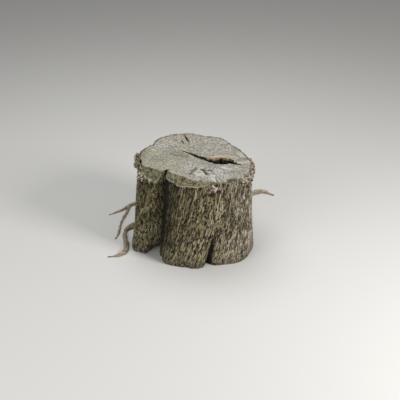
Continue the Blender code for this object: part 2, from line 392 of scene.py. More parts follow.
def crumbled_patch(column, height):
    """How far a place is inside the crumbled patch: 1 in its middle and 0 away from it."""
    slip = -SLANT_MOST * (1.0 - height / CUT_HEIGHT) * CRUMBLED_SLANT
    around = ((column - slip - CRUMBLED[0]) / CRUMBLED[2]) ** 2
    return math.exp(-around - ((height - CRUMBLED[1]) / CRUMBLED[3]) ** 2)


print("crumbled patch", round(crumbled_patch(*CRUMBLED[:2]), 2), "in its middle")
print("pale ridge over", len(PALE_RIDGE), "points")

# %% Relief of one bark point
PLATE_WIDTH = 0.0078
PLATE_LENGTH = 0.042
FISSURE_DEPTH = 0.0032
RIDGE_DEPTH = 0.0042
RIB = 0.0060
GRIT = 0.0006
KNOBS_OUT = 0.0060
CREST_OUT = 0.0045
# How far slow and quick noise bend the plates.
SLOW_BEND = 0.012
QUICK_BEND = 0.0030
# The relief is full above this height, and this share of it is left at the ground.
FOOT_FADE = 0.12
FOOT_SHARE = 0.30


def bark_relief(column, radius, height):
    """How far the bark stands out at a place, its share of plate, its tone and its fibre place."""
    place = fibre_place(column, radius, height)
    slow = noise.noise_vector(Vector((place.x * 10.0, place.y * 10.0, place.z * 6.0)))
    quick = noise.noise_vector(Vector((place.x * 55.0, place.y * 55.0, place.z * 22.0)))
    bent = place + slow * SLOW_BEND + quick * QUICK_BEND
    cell = Vector((bent.x / PLATE_WIDTH, bent.y / PLATE_WIDTH, bent.z / PLATE_LENGTH))
    distances, middles = noise.voronoi(cell)
    plate = soft_step(0.02, 0.34, distances[1] - distances[0])
    tone = 0.5 + 0.5 * noise.noise(middles[0] * 3.17)
    ridge = abs(noise.noise(Vector((bent.x * 60.0, bent.y * 60.0, bent.z * 8.0))))
    ridge = soft_step(0.0, 0.20, ridge)
    rib = noise.noise(Vector((place.x * 13.0, place.y * 13.0, place.z * 3.2)))
    strength = FOOT_SHARE + (1.0 - FOOT_SHARE) * soft_step(0.0, FOOT_FADE, height)
    crumbled = crumbled_patch(column, height)
    knob = noise.noise(place * 62.0) + 0.5 * noise.noise(place * 140.0)
    out = (plate - 1.0) * FISSURE_DEPTH * strength + (ridge - 1.0) * RIDGE_DEPTH * strength
    out += RIB * rib + GRIT * noise.noise(place * 170.0) + KNOBS_OUT * knob * crumbled
    crest = pale_ridge(column, height)
    out += CREST_OUT * crest
    tone += 0.45 * crest + 0.30 * crumbled
    return out, plate * (0.45 + 0.55 * ridge), tone, place


relief_at = np.zeros((ROWS, COLUMNS))
plate_at = np.zeros((ROWS, COLUMNS))
tone_at = np.zeros((ROWS, COLUMNS))
fibre_at = np.zeros((ROWS, COLUMNS, 3))
for row in range(ROWS):
    for col in range(COLUMNS):
        found = bark_relief(COLUMN[col], radius_at[row, col], height_at[row, col])
        relief_at[row, col], plate_at[row, col], tone_at[row, col], fibre_at[row, col] = found
print("relief from", round(relief_at.min(), 4), "to", round(relief_at.max(), 4))

# %% Shade in the creases and under the burls
# Creases are given painted shade: where the skin lies deeper than the trunk within this many columns.
AROUND = 20
AROUND_PASSES = 3
# The deep crease shades the bark on its +X side: columns, and how deep each one seems to lie.
SHADE_COLUMNS = (232.6, 233.4, 242.5, 246.5, 255.0, 264.0)
SHADE_DEPTHS = (0.0, 0.016, 0.016, 0.0090, 0.0074, 0.0)
SHADE_FOOT = 0.12
# Its other wall stays lit between these columns.
LIT_WALL = (225.0, 227.5, 232.6, 233.6)
LIT_SHARE = 0.30
# Painted shadow under a burl: how deep the bark there seems to lie, and how many of its half-heights below
# its middle.
BURL_SHADE = 0.016
BURL_SHADE_BELOW = 1.1
around = radius_at.copy()
for _ in range(AROUND_PASSES):
    around = sum(np.roll(around, shift, 1) for shift in range(-AROUND, AROUND + 1)) / (2.0 * AROUND + 1.0)
painted_shade_at = np.clip(around - radius_at, 0.0, 1.0)
shade_fade = 0.3 + 0.7 * np.clip(height_at / SHADE_FOOT, 0.0, 1.0)
shade = np.interp(COLUMN, SHADE_COLUMNS, SHADE_DEPTHS) * shade_fade
lit = np.array([soft_step(*LIT_WALL[:2], c) * (1.0 - soft_step(*LIT_WALL[2:], c)) for c in COLUMN])
painted_shade_at = np.maximum(painted_shade_at * (1.0 - (1.0 - LIT_SHARE) * lit), shade)
for burl in BURLS:
    middle = burl_place(burl)
    below = (radius_at * np.cos(turn_at) - middle.x) ** 2 + (radius_at * np.sin(turn_at) - middle.y) ** 2
    below += (height_at - middle.z + BURL_SHADE_BELOW * burl[5]) ** 2
    painted_shade_at = np.maximum(painted_shade_at, BURL_SHADE * np.exp(-below / (0.8 * burl[3]) ** 2))
print("deepest crease", round(float(painted_shade_at.max()), 3))

# %% [markdown]
# ## The bark shell
# The shell is a closed cup: bark outside, a broken lip at the rim, and an inner wall down to a floor
# deep inside, where the wood is set in. A cone primitive with as many segments as columns gives the
# outer wall, cut across into rows. The lip and the inner wall are extruded from its top edge.

# %% The undercut at the foot
# The foot of the left flare is undercut beside the crease: columns of its start, full depth and end.
POCKET_COLUMNS = (223.5, 231.0, 234.5, 237.5)
POCKET_DEPTH = 0.070
POCKET_HEIGHT = 0.14
POCKET_POWER = 1.2


def pocket_at(column, height):
    """How far the undercut at the left foot draws a place towards +Y."""
    start, full, still, end = POCKET_COLUMNS
    beside = soft_step(start, full, column) * (1.0 - soft_step(still, end, column))
    return POCKET_DEPTH * beside * max(0.0, 1.0 - height / POCKET_HEIGHT) ** POCKET_POWER


print("undercut at the ground", round(pocket_at(POCKET_COLUMNS[1], 0.0), 3))

# %% The broken lip
BARK_THICKNESS = 0.0065
THICKNESS_SWING = 0.003
# The lip is broken by up to this much, and again at a fissure.
LIP_DROP = 0.003
LIP_NOTCH = 0.0015
LIP_CREST = 0.0015
RECESS_FLOOR = 0.30
RECESS_STEP = 0.012
RECESS_TAPER = 0.66
outer = radius_at + relief_at


def thickness_noise(column):
    """Noise round the rim, which meets itself at bearing 0."""
    angle = math.radians(column)
    return noise.noise(Vector((math.cos(angle) * 9.0, math.sin(angle) * 9.0, 8.0)))


broken = np.array([noise.noise(Vector((col * 0.11, 3.7, 0.0))) for col in range(COLUMNS)])
rim_drop = LIP_DROP * np.clip(broken, 0.0, 1.0) + LIP_NOTCH * (1.0 - plate_at[-1])
thickness = BARK_THICKNESS + THICKNESS_SWING * np.array([thickness_noise(c) for c in COLUMN])
rim_turn = np.radians(bearing_at(COLUMN, rim_height))
inner_rim = np.minimum(radius_at[-1], outer[-1]) - thickness
rim_x = outer[-1] * np.cos(rim_turn)
rim_y = outer[-1] * np.sin(rim_turn)
rim_below = plane_height(SAW_CUT, rim_x, rim_y) - top_height(rim_x, rim_y)


def ring_point(col, radius, height):
    """A point of a column near the rim."""
    return Vector((radius * math.cos(rim_turn[col]), radius * math.sin(rim_turn[col]), height))


def lip_rings(col):
    """Points from the rim's outer edge over the lip and down the inner wall."""
    edge = outer[-1, col]
    inside = inner_rim[col]
    middle = 0.5 * (edge + inside)
    lip = ring_point(col, middle, 0.0)
    wall = ring_point(col, inside, 0.0)
    crest = float(top_height(lip.x, lip.y)) + LIP_CREST - rim_drop[col]
    foot = float(top_height(wall.x, wall.y)) - 0.0005
    return (
        ring_point(col, middle, crest),
        ring_point(col, inside, foot),
        ring_point(col, inside - 0.001, foot - RECESS_STEP),
        ring_point(col, inside * RECESS_TAPER, RECESS_FLOOR),
    )


print("bark at the rim", round(thickness.min(), 4), "to", round(thickness.max(), 4), "thick")

# %% Build the bark
RING_STEPS = 4
LIP_STEPS = 2


def table_index(vert):
    """Row and column of a vertex of the unit tube."""
    col = round(math.atan2(vert.co.y, vert.co.x) / math.tau * COLUMNS) % COLUMNS
    return round((vert.co.z + 0.5) * (ROWS - 1)), col


def finish_mesh(work, name):
    """Turns a built mesh into an object of the scene."""
    mesh = bpy.data.meshes.new(name)
    work.to_mesh(mesh)
    work.free()
    made = bpy.data.objects.new(name, mesh)
    bpy.context.scene.collection.objects.link(made)
    return made


def build_bark():
    """The closed bark shell, with its relief kept as attributes."""
    work = bmesh.new()
    bmesh.ops.create_cone(work, cap_ends=False, segments=COLUMNS, radius1=1.0, radius2=1.0, depth=1.0)
    upright = [edge for edge in work.edges if abs(edge.verts[0].co.z - edge.verts[1].co.z) > 0.5]
    bmesh.ops.subdivide_edges(work, edges=upright, cuts=ROWS - 2)
    plate_layer = work.verts.layers.float.new("plate")
    tone_layer = work.verts.layers.float.new("tone")
    fibre_layer = work.verts.layers.float_vector.new("fibre")
    painted_shade_layer = work.verts.layers.float.new("painted_shade")
    lip_layer = work.verts.layers.float.new("lip")
    chamfer_layer = work.verts.layers.float.new("chamfer")
    column_layer = work.verts.layers.int.new("column")
    top = []
    for vert in work.verts:
        row, col = table_index(vert)
        turn = turn_at[row, col]
        height = height_at[row, col] - rim_drop[col] * (row / (ROWS - 1)) ** 12
        vert.co = Vector((outer[row, col] * math.cos(turn), outer[row, col] * math.sin(turn), height))
        vert.co.y += pocket_at(COLUMN[col], height)
        vert[plate_layer] = plate_at[row, col]
        vert[tone_layer] = tone_at[row, col]
        vert[fibre_layer] = Vector(fibre_at[row, col])
        vert[painted_shade_layer] = painted_shade_at[row, col]
        vert[lip_layer] = 0.5 if row == ROWS - 1 else 0.0
        vert[chamfer_layer] = rim_below[col] if row > ROWS - 3 else 0.0
        vert[column_layer] = col
        if row == ROWS - 1:
            top.append(vert)
    edge_verts = set(top)
    edges = [e for v in top for e in v.link_edges if e.other_vert(v) in edge_verts]
    rings = [lip_rings(col) for col in range(COLUMNS)]
    for step in range(RING_STEPS):
        made = bmesh.ops.extrude_edge_only(work, edges=list(set(edges)))["geom"]
        for vert in made:
            if isinstance(vert, bmesh.types.BMVert):
                vert.co = rings[vert[column_layer]][step]
                vert[lip_layer] = 1.0 if step < LIP_STEPS else 0.0
                vert[plate_layer] = 1.0 if step < LIP_STEPS else 0.0
        edges = [e for e in made if isinstance(e, bmesh.types.BMEdge) and e.is_boundary]
    bmesh.ops.holes_fill(work, edges=[e for e in work.edges if e.is_boundary], sides=0)
    bmesh.ops.recalc_face_normals(work, faces=work.faces)
    work.verts.layers.int.remove(column_layer)
    return finish_mesh(work, "bark")


bark = build_bark()
print("bark", len(bark.data.polygons), "faces")

# %% [markdown]
# ## The sawn wood
# The cut face is the end of a block set into the bark. A square grid, eased into a disc, gives even
# cells from the middle to the rim, with no pinched centre. Each point then takes the outline of the
# bark's inner edge and the height of the saw cuts, and the cracks press it down.

# %% Cracks and checks in the cut
# Points along each crack: x, y and half-width there.
MAIN_CRACK = (
    (-0.047, 0.075, 0.003), (-0.002, 0.044, 0.0075), (0.030, 0.016, 0.011), (0.069, -0.002, 0.016),
    (0.096, -0.014, 0.020), (0.124, -0.015, 0.032), (0.152, -0.006, 0.037), (0.180, -0.001, 0.032),
    (0.200, -0.004, 0.026), (0.212, -0.017, 0.013), (0.240, -0.026, 0.006), (0.254, -0.034, 0.002),
)
MAIN_CRACK_DEPTH = 0.12
SHELF_DEPTH = 0.010
# Where the main crack is felt: x from and to, y from and to.
MAIN_CRACK_ZONE = (-0.09, 0.31, -0.11, 0.19)
# How far its far side lifts, over what distance, and from what half-width it has a ledge.
LIFT = 0.007
LIFT_REACH = 0.085
LIFT_FULL_AT = 0.034
LEDGE_FROM = 0.016
RIM_CRACK = (
    (-0.046, 0.330, 0.0014), (-0.038, 0.262, 0.0018), (-0.031, 0.234, 0.0050), (-0.024, 0.212, 0.0050),
    (-0.016, 0.192, 0.0014),
)
RIM_CRACK_DEPTH = 0.035
# Fine drying checks: start, end, half-width and depth.
CHECKS = (
    ((-0.108, 0.022), (-0.024, 0.009), 0.0030, 0.003),
    ((-0.057, 0.204), (-0.042, 0.160), 0.0040, 0.009),
    ((0.206, -0.238), (0.234, -0.226), 0.0060, 0.009),
    ((0.052, -0.128), (0.068, -0.131), 0.0055, 0.009),
    ((0.084, -0.128), (0.104, -0.134), 0.0040, 0.007),
    ((0.066, -0.152), (0.074, -0.170), 0.0045, 0.007),
    ((0.082, 0.292), (0.109, 0.245), 0.0018, 0.003),
    ((0.048, 0.236), (0.080, 0.150), 0.0016, 0.003),
    ((0.243, -0.059), (0.264, -0.055), 0.0040, 0.010),
    ((-0.230, -0.020), (-0.170, -0.004), 0.0014, 0.002),
    ((0.118, 0.120), (0.190, 0.150), 0.0014, 0.002),
    ((0.060, 0.060), (0.150, 0.100), 0.0014, 0.002),
)
CHECK_NEAR = 0.02
print(len(CHECKS), "checks, and a main crack", MAIN_CRACK_DEPTH, "deep")

# %% Marks on the cut
# Marks on the face: kind, start, end, half-width and strength.
MARKS = (
    ("rot", (-0.008, -0.188), (0.024, -0.114), 0.0095, 0.50),
    ("rot", (0.054, -0.128), (0.070, -0.131), 0.0090, 0.75),
    ("rot", (0.088, -0.128), (0.104, -0.134), 0.0065, 0.65),
    ("rot", (0.066, -0.152), (0.074, -0.170), 0.0080, 0.75),
    ("rot", (0.120, -0.195), (0.128, -0.235), 0.0050, 0.55),
    ("rot", (0.085, -0.255), (0.130, -0.262), 0.0060, 0.55),
    ("rot", (-0.034, 0.250), (-0.018, 0.190), 0.0060, 0.45),
    # This dark mark lies just under the moss clump: painted shade beneath it.
    ("rot", (0.186, -0.226), (0.222, -0.208), 0.0100, 0.85),
    ("moss", (0.182, -0.212), (0.220, -0.194), 0.0110, 0.80),
    ("lichen", (0.160, -0.078), (0.196, -0.090), 0.0170, 0.50),
    ("lichen", (0.058, -0.165), (0.044, -0.182), 0.0130, 0.48),
    ("lichen", (0.108, -0.185), (0.116, -0.228), 0.0180, 0.50),
    ("lichen", (0.020, -0.170), (0.046, -0.190), 0.0130, 0.50),
    ("lichen", (0.130, -0.108), (0.148, -0.120), 0.0120, 0.50),
    ("lichen", (0.010, -0.120), (0.140, -0.150), 0.0550, 0.30),
    ("lichen", (-0.220, 0.070), (-0.120, 0.150), 0.0450, 0.26),
    ("ochre", (0.048, -0.285), (0.078, -0.290), 0.0160, 0.70),
    ("ochre", (0.010, -0.290), (0.030, -0.300), 0.0110, 0.55),
    ("ochre", (0.150, -0.250), (0.200, -0.245), 0.0100, 0.45),
    ("ochre", (-0.050, 0.300), (-0.034, 0.256), 0.0120, 0.55),
    ("ochre", (0.080, 0.310), (0.110, 0.280), 0.0080, 0.45),
    ("cream", (-0.060, 0.098), (-0.020, 0.068), 0.0050, 0.60),
    ("cream", (0.100, 0.026), (0.186, 0.058), 0.0060, 0.60),
    ("cream", (0.192, 0.060), (0.236, 0.036), 0.0100, 0.60),
    ("cream", (0.246, -0.008), (0.318, 0.020), 0.0100, 0.62),
    ("cream", (0.239, 0.100), (0.272, 0.066), 0.0080, 0.50),
    ("cream", (-0.012, -0.060), (0.010, -0.042), 0.0060, 0.45),
    ("slate", (-0.112, 0.024), (-0.020, 0.008), 0.0085, 0.85),
    ("slate", (0.222, 0.034), (0.292, 0.046), 0.0120, 0.75),
    ("slate", (0.232, 0.006), (0.280, 0.020), 0.0060, 0.50),
    ("slate", (-0.130, 0.050), (-0.060, 0.045), 0.0200, 0.36),
    ("slate", (0.060, -0.060), (0.200, -0.110), 0.0300, 0.34),
    ("olive", (0.020, -0.262), (0.150, -0.262), 0.0170, 0.75),
    ("olive", (0.150, -0.262), (0.235, -0.232), 0.0120, 0.60),
    ("olive", (-0.240, 0.160), (-0.260, -0.040), 0.0300, 0.40),
    ("olive", (-0.020, 0.060), (-0.200, -0.080), 0.0300, 0.22),
)
MARK_KINDS = ("rot", "moss", "lichen", "ochre", "cream", "slate", "olive")
MARKS_OF = {kind: [mark[1:] for mark in MARKS if mark[0] == kind] for kind in MARK_KINDS}
# A mark is felt this many half-widths away.
MARK_REACH = 3.0


def along_route(x, y, route):
    """Signed distance from a crack's middle line, and the half-width of the nearest stretch."""
    best = None
    for (ax, ay, ah), (bx, by, bh) in zip(route, route[1:]):
        span = Vector((bx - ax, by - ay))
        t = min(1.0, max(0.0, ((x - ax) * span.x + (y - ay) * span.y) / span.length_squared))
        away = Vector((x - ax - span.x * t, y - ay - span.y * t))
        side = 1.0 if span.x * away.y - span.y * away.x > 0.0 else -1.0
        if best is None or away.length < abs(best[0]):
            best = (side * away.length, ah + (bh - ah) * t)
    return best


def near_line(x, y, start, end, reach):
    """Whether a place is within reach of a line, by x and by y."""
    (ax, ay), (bx, by) = start, end
    near_x = min(ax, bx) - reach < x < max(ax, bx) + reach
    return near_x and min(ay, by) - reach < y < max(ay, by) + reach


def mark_at(kind, x, y):
    """Strength of one kind of mark at a place."""
    most = 0.0
    for start, end, half_width, strength in MARKS_OF[kind]:
        if near_line(x, y, start, end, MARK_REACH * half_width):
            away, _ = along_route(x, y, ((*start, half_width), (*end, half_width)))
            ragged = 1.0 + 1.2 * noise.noise(Vector((x * 75.0, y * 75.0, 3.0 + len(kind))))
            part = abs(away) / (half_width * ragged + 0.0005)
            most = max(most, strength * (1.0 - soft_step(0.45, 1.35, part)))
    return most


print("marks", {kind: len(MARKS_OF[kind]) for kind in MARK_KINDS})

# %% Relief of the weathered cut
def crack_depth(x, y, route, deepest, shelf):
    """How deep a crack is at a place, and its signed distance. A shelf may lie along the far side."""
    away, half = along_route(x, y, route)
    ragged = 0.26 * noise.noise(Vector((x * 90.0, y * 90.0, 1.0)))
    ragged += 0.22 * noise.noise(Vector((x * 260.0, y * 260.0, 2.0)))
    half = half * (1.0 + ragged)
    widest = max(h for _, _, h in route)
    part = abs(away) / max(half, 0.0001)
    full = deepest * (half / widest) ** 0.6
    if away <= 0.0 or shelf == 0.0:
        return full * (1.0 - soft_step(0.72, 1.0, part)), away
    ledge = 0.98 - 0.40 * soft_step(0.30, 0.65, half / widest)
    ledge += 0.22 * noise.noise(Vector((x * 70.0, y * 70.0, 6.0)))
    drop = shelf * min(1.0, half / (0.6 * widest)) * (1.0 - soft_step(0.65, 1.0, part))
    return max(drop, full * (1.0 - soft_step(ledge - 0.12, ledge + 0.10, part))), away


def top_relief(x, y):
    """Height of the weathered face above the saw cut, depth in a crack, lift and ledge there."""
    place = Vector((x, y, 0.0))
    slow = noise.noise(place * 9.0) * 0.0030
    mid = noise.noise(place * 34.0) * 0.0012
    grain = noise.noise(place * 130.0) * 0.0007
    hollow = 0.0
    lift = 0.0
    ledge = 0.0
    left, right, near, far = MAIN_CRACK_ZONE
    if left < x < right and near < y < far:
        hollow, away = crack_depth(x, y, MAIN_CRACK, MAIN_CRACK_DEPTH, SHELF_DEPTH)
        _, half = along_route(x, y, MAIN_CRACK)
        if away > 0.0:
            lift = LIFT * min(1.0, half / LIFT_FULL_AT) * (1.0 - soft_step(half, half + LIFT_REACH, away))
            ledge = 1.0 if half > LEDGE_FROM and away < 1.4 * half else 0.0
    if y > RIM_CRACK[-1][1] - 0.02 and abs(x) < 0.1:
        hollow = max(hollow, crack_depth(x, y, RIM_CRACK, RIM_CRACK_DEPTH, 0.0)[0])
    wobble = 0.004 * noise.noise(Vector((x * 60.0, y * 60.0, 5.0)))
    for start, end, half_width, deep in CHECKS:
        if near_line(x, y, start, end, CHECK_NEAR):
            route = ((*start, half_width), (*end, half_width * 0.4))
            gap, taper = along_route(x + wobble, y - wobble, route)
            hollow = max(hollow, deep * (1.0 - soft_step(0.2 * taper, 1.5 * taper, abs(gap))))
    return slow + mid + grain + lift - hollow, hollow, lift, ledge


print("middle of the main crack is", round(top_relief(*MAIN_CRACK[6][:2])[1], 3), "deep")

# %% Edge of the wood
WOOD_GAP = 0.0004
# Bark has lifted off the wood here: bearing, width in degrees, and gap.
LIFTED_BARK_AT = 200.0
LIFTED_BARK_WIDTH = 7.0
LIFTED_BARK_GAP = 0.013

rim_order = np.argsort(np.mod(rim_turn, math.tau))
rim_bearing = np.mod(rim_turn, math.tau)[rim_order]
rim_inside = inner_rim[rim_order]


def wood_edge(angle):
    """Radius of the wood where it meets the bark, at a bearing in radians."""
    edge = float(np.interp(angle % math.tau, rim_bearing, rim_inside, period=math.tau))
    away = (math.degrees(angle) - LIFTED_BARK_AT + 180.0) % 360.0 - 180.0
    return edge - WOOD_GAP - LIFTED_BARK_GAP * math.exp(-((away / LIFTED_BARK_WIDTH) ** 2))


print("wood reaches", round(wood_edge(0.0), 3), "at bearing 0")

# %% Build the block of wood
WOOD_CELLS = 250
BLOCK_FLOOR = RECESS_FLOOR + 0.004
BLOCK_TAPER = RECESS_TAPER - 0.01
# The face flattens towards the rim from this part of its radius.
FLAT_FROM = 0.985
FLAT_SHARE = 0.7


def disc_place(a, b):
    """Distance and angle in the unit disc of a point of the square from -1 to 1, with even cells."""
    if a == 0.0 and b == 0.0:
        return 0.0, 0.0
    if abs(a) > abs(b):
        return a, math.pi / 4.0 * b / a
    return b, math.pi / 2.0 - math.pi / 4.0 * a / b


def build_wood():
    """The closed block of wood with its weathered top."""
    work = bmesh.new()
    bmesh.ops.create_grid(work, x_segments=WOOD_CELLS, y_segments=WOOD_CELLS, size=1.0)
    hollow_layer = work.verts.layers.float.new("hollow")
    ledge_layer = work.verts.layers.float.new("ledge")
    below_layer = work.verts.layers.float.new("chamfer")
    lift_layer = work.verts.layers.float.new("torn")
    rim_layer = work.verts.layers.float.new("rim")
    mark_layers = {kind: work.verts.layers.float.new(kind) for kind in MARK_KINDS}
    for vert in work.verts:
        reach, turn = disc_place(vert.co.x, vert.co.y)
        if reach < 0.0:
            reach, turn = -reach, turn + math.pi
        radius = reach * wood_edge(turn)
        x, y = radius * math.cos(turn), radius * math.sin(turn)
        up, hollow, lift, ledge = top_relief(x, y)
        level = float(top_height(x, y))
        vert.co = Vector((x, y, level + up * (1.0 - soft_step(FLAT_FROM, 1.0, reach) * FLAT_SHARE)))
        vert[hollow_layer] = hollow
        vert[ledge_layer] = ledge
        vert[lift_layer] = lift
        vert[rim_layer] = reach
        vert[below_layer] = float(plane_height(SAW_CUT, x, y)) - level
        for kind, layer in mark_layers.items():
            vert[layer] = mark_at(kind, x, y)
    rim_edges = [edge for edge in work.edges if edge.is_boundary]
    for down, taper in ((RECESS_STEP, 1.0), (None, BLOCK_TAPER)):
        made = bmesh.ops.extrude_edge_only(work, edges=rim_edges)["geom"]
        rim_edges = [edge for edge in made if isinstance(edge, bmesh.types.BMEdge) and edge.is_boundary]
        for vert in made:
            if isinstance(vert, bmesh.types.BMVert):
                level = BLOCK_FLOOR if down is None else vert.co.z - down
                vert.co = Vector((vert.co.x * taper, vert.co.y * taper, level))
    bmesh.ops.holes_fill(work, edges=[e for e in work.edges if e.is_boundary], sides=0)
    bmesh.ops.recalc_face_normals(work, faces=work.faces)
    return finish_mesh(work, "cut_wood")


cut_wood = build_wood()
print("cut wood", len(cut_wood.data.polygons), "faces")

# %% [markdown]
# ## Burls
# A burl is a knobbly lump. An icosphere has no poles to pinch, so it is the best start: it is pushed
# in and out by round Voronoi knobs, then squashed, turned to face out and moved to its place.

# %% Small knobs along the rim
# They crowd the rim between two bearings: first and last bearing, and how many.
KNOBS = (-38.0, 10.0, 64)
KNOB_SIZE = (0.0055, 0.0130)
# They lie up to this far above the rim's edge, and about this far under it.
KNOB_ABOVE = 0.002
KNOB_UNDER = 0.012
# The bark's outer face is felt at this height, below the rim.
KNOB_RAY = 0.40


def rim_radius(bearing):
    """Radius of the bark's outer face just below the rim."""
    place = cast_in(bearing, KNOB_RAY)
    return math.hypot(place.x, place.y)


def small_knobs():
    """The knobs along the rim, in the same terms as the burls."""
    first, last, count = KNOBS
    made = []
    for number in range(count):
        jump = noise.noise_vector(Vector((number * 2.3, 4.1, 0.7)))
        other = noise.noise_vector(Vector((number * 1.7, 9.4, 5.2)))
        bearing = first + (last - first) * (number + 0.5 + 1.4 * jump.x) / count
        size = KNOB_SIZE[0] + (KNOB_SIZE[1] - KNOB_SIZE[0]) * min(1.0, abs(jump.z) * 2.2)
        distance = rim_radius(bearing) + 0.014 * other.x
        angle = math.radians(bearing)
        crest = float(top_height(distance * math.cos(angle), distance * math.sin(angle)))
        height = crest - KNOB_UNDER + 0.030 * other.y - max(0.0, distance - rim_radius(bearing)) * 0.8
        made.append((bearing, distance, min(height, crest + KNOB_ABOVE), size, size * 0.9, size * 0.9))
    return made


knobs = small_knobs()
knob_sizes = [knob[3] for knob in knobs]
print(len(knobs), "knobs from", round(min(knob_sizes), 4), "to", round(max(knob_sizes), 4))

# %% Build the burls
BURL_FINENESS = 5
KNOB_FINENESS = 4


def build_burls():
    """All the burls, as one piece of separate closed lumps."""
    work = bmesh.new()
    burl_shade_layer = work.verts.layers.float.new("burl_painted_shade")
    lumps = [*BURLS, *knobs]
    for number, (bearing, distance, height, across, out, up) in enumerate(lumps):
        fineness = BURL_FINENESS if across > KNOB_SIZE[1] else KNOB_FINENESS
        made = bmesh.ops.create_icosphere(work, subdivisions=fineness, radius=1.0)["verts"]
        for vert in made:
            seed = vert.co + Vector((number * 7.3, bearing, 0.0))
            near, second = noise.voronoi(seed * 2.3)[0][:2]
            knob = soft_step(0.0, 0.45, second - near)
            # Painted shade: the pits between knobs and the underside of each lump are marked for
            # darkening.
            vert[burl_shade_layer] = max(1.0 - knob, 0.9 * soft_step(0.10, -0.65, vert.co.z))
            vert.co *= 0.78 + 0.32 * knob + 0.24 * noise.noise(seed * 1.6) + 0.07 * noise.noise(seed * 6.0)
        bmesh.ops.scale(work, vec=(out, across, up), verts=made)
        angle = math.radians(bearing)
        place = Vector((distance * math.cos(angle), distance * math.sin(angle), height))
        turn = Matrix.Translation(place) @ Matrix.Rotation(angle, 4, "Z")
        bmesh.ops.transform(work, verts=made, matrix=turn)
    return finish_mesh(work, "burls")


burls = build_burls()
print("burls", len(burls.data.polygons), "faces")

# %% [markdown]
# ## Surface roots
# A root is a tube that tapers and wanders. A curve with a bevel makes the tube from a few points, and
# its mesh is then roughened by noise. What would lie below the ground is pressed flat onto it.

# %% Build the roots
ROOT_LUMP = 0.0040
ROOT_GRIT = 0.0018
ROOT_SINK = 0.0004


def build_root(name, route):
    """One surface root as a closed, roughened mesh."""
    curve = bpy.data.curves.new(name + "_route", "CURVE")
    curve.dimensions = "3D"
    curve.bevel_depth = 1.0
    curve.bevel_resolution = 7
    curve.resolution_u = 24
    curve.use_fill_caps = True
    spline = curve.splines.new("NURBS")
    spline.points.add(len(route) - 1)
    for point, (x, y, z, radius) in zip(spline.points, route):
        point.co = (x, y, z, 1.0)
        point.radius = radius
    spline.order_u = 3
    spline.use_endpoint_u = True
    guide = bpy.data.objects.new(name + "_route", curve)
    bpy.context.scene.collection.objects.link(guide)
    bpy.context.view_layer.update()
    mesh = bpy.data.meshes.new_from_object(guide.evaluated_get(bpy.context.evaluated_depsgraph_get()))
    bpy.data.objects.remove(guide)
    work = bmesh.new()
    work.from_mesh(mesh)
    bmesh.ops.remove_doubles(work, verts=work.verts, dist=0.0001)
    bmesh.ops.recalc_face_normals(work, faces=work.faces)
    work.normal_update()
    moves = []
    for vert in work.verts:
        lump = ROOT_LUMP * noise.noise(vert.co * 36.0) + ROOT_GRIT * noise.noise(vert.co * 120.0)
        moves.append(vert.co + vert.normal * (lump - ROOT_SINK))
    for vert, place in zip(work.verts, moves):
        vert.co = place
        vert.co.z = max(vert.co.z, 0.0)
    work.to_mesh(mesh)
    work.free()
    mesh.name = name
    made = bpy.data.objects.new(name, mesh)
    bpy.context.scene.collection.objects.link(made)
    return made


roots = [build_root(name, route) for name, route in ROOTS.items()]
print("roots", [len(root.data.polygons) for root in roots], "faces")

# %% [markdown]
# ## Shader groups
# Weathering is the same thing on bark, wood, burls and roots: a film of algae that grows in patches,
# soil splashed up from the ground, and small pale lichens. Each is a node group, built once.

# %% Helpers for node trees
def add_node(tree, kind, **settings):
    """A new node with its settings."""
    made = tree.nodes.new(kind)
    for name, value in settings.items():
        setattr(made, name, value)
    return made


def put(node, name, value):
    """Sets a socket, by linking another socket or by a plain value."""
    socket = node.inputs[name]
    if isinstance(value, bpy.types.NodeSocket):
        node.id_data.links.new(value, socket)
    else:
        socket.default_value = value


def noise_value(tree, vector, scale, detail=3.0, rough=0.55):
    """A noise texture's value socket."""
    made = add_node(tree, "ShaderNodeTexNoise")
    put(made, "Vector", vector)
    put(made, "Scale", scale)
    put(made, "Detail", detail)
    put(made, "Roughness", rough)
    return made.outputs["Fac"]


def ramp(tree, value, low, high, out_low=0.0, out_high=1.0):
    """A smooth clamped remap of a value."""
    made = add_node(tree, "ShaderNodeMapRange", interpolation_type="SMOOTHSTEP")
    put(made, "Value", value)
    put(made, "From Min", low)
    put(made, "From Max", high)
    put(made, "To Min", out_low)
    put(made, "To Max", out_high)
    return made.outputs["Result"]


def maths(tree, operation, first, second=0.0):
    """One math node's result."""
    made = add_node(tree, "ShaderNodeMath", operation=operation)
    put(made, 0, first)
    put(made, 1, second)
    return made.outputs[0]


def mix_colour(tree, amount, first, second, blend="MIX"):
    """A colour mixed from two."""
    made = add_node(tree, "ShaderNodeMix", data_type="RGBA", blend_type=blend)
    made.clamp_factor = True
    put(made, 0, amount)
    put(made, 6, first)
    put(made, 7, second)
    return made.outputs[2]


def stretched(tree, vector, scale):
    """The vector with each axis multiplied."""
    made = add_node(tree, "ShaderNodeVectorMath", operation="MULTIPLY")
    put(made, 0, vector)
    put(made, 1, scale)
    return made.outputs[0]


def new_group(name, inputs, outputs):
    """An empty node group with named sockets, and its input and output nodes."""
    group = bpy.data.node_groups.new(name, "ShaderNodeTree")
    for socket, kind in inputs:
        group.interface.new_socket(name=socket, in_out="INPUT", socket_type=kind)
    for socket, kind in outputs:
        group.interface.new_socket(name=socket, in_out="OUTPUT", socket_type=kind)
    return group, group.nodes.new("NodeGroupInput"), group.nodes.new("NodeGroupOutput")


COLOUR = "NodeSocketColor"
VALUE = "NodeSocketFloat"
VECTOR = "NodeSocketVector"
print("group sockets", COLOUR, VALUE, VECTOR)

